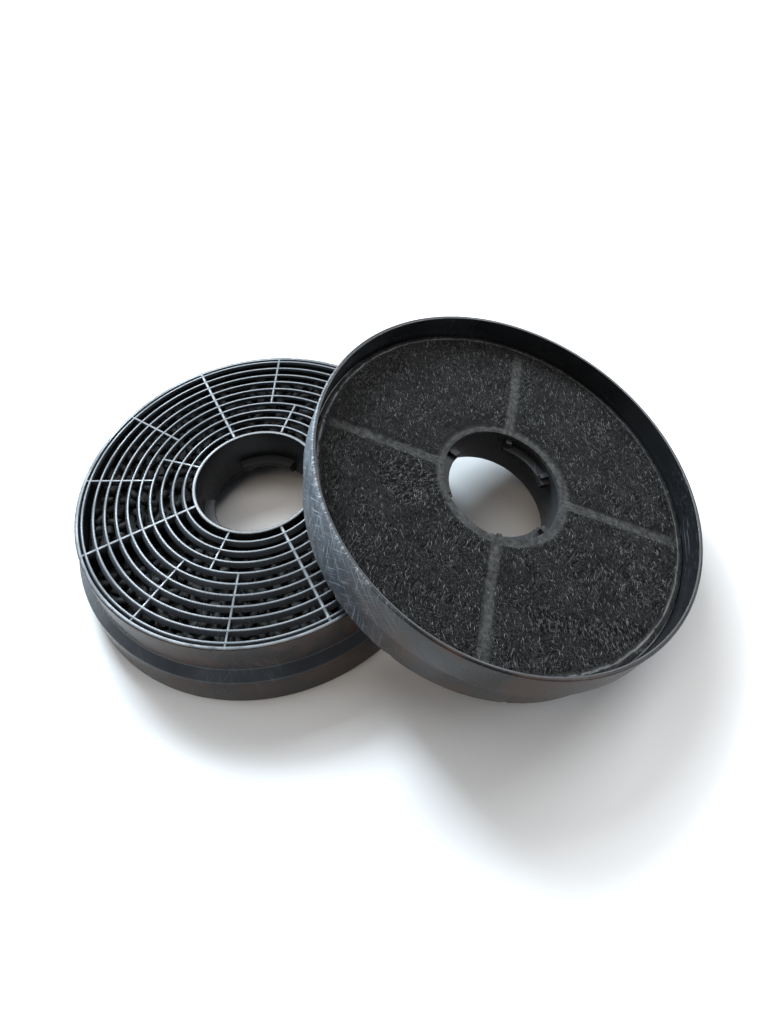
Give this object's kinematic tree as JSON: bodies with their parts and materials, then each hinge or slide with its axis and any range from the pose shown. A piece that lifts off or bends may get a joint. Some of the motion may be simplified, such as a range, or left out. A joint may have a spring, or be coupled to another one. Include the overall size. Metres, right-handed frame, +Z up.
{
  "type": "cooker hood carbon filter pair",
  "caption": "Round slotted charcoal filters for a cooker hood, one lying grille up and the other leaning on it with its felt side up, each with a bayonet hub bore.",
  "frame": {"origin": "on the floor, in the middle of the pair's bounding box", "axes": "+Z up, along the axis of the filter that lies flat; +X from the flat filter towards the leaning one; the leaning filter tilts about Y"},
  "size_m": [0.2954, 0.1922, 0.0945],
  "materials": {
    "casing_plastic": "satin",
    "felt_fabric": "matte",
    "carbon_pellets": "matte"
  },
  "bodies": {
    "filter_a": {"filter_a_casing": "casing_plastic", "filter_a_felt": "felt_fabric", "filter_a_carbon_1": "carbon_pellets", "filter_a_carbon_2": "carbon_pellets", "filter_a_carbon_3": "carbon_pellets", "filter_a_carbon_4": "carbon_pellets"},
    "filter_b": {"filter_b_casing": "casing_plastic", "filter_b_felt": "felt_fabric", "filter_b_carbon_1": "carbon_pellets", "filter_b_carbon_2": "carbon_pellets", "filter_b_carbon_3": "carbon_pellets", "filter_b_carbon_4": "carbon_pellets"}
  },
  "joints": [
    {"name": "filter_b_lift", "type": "slide", "parent": "filter_a", "child": "filter_b", "axis": [0, 0, 1], "range_m": [0, 0.12]}
  ]
}
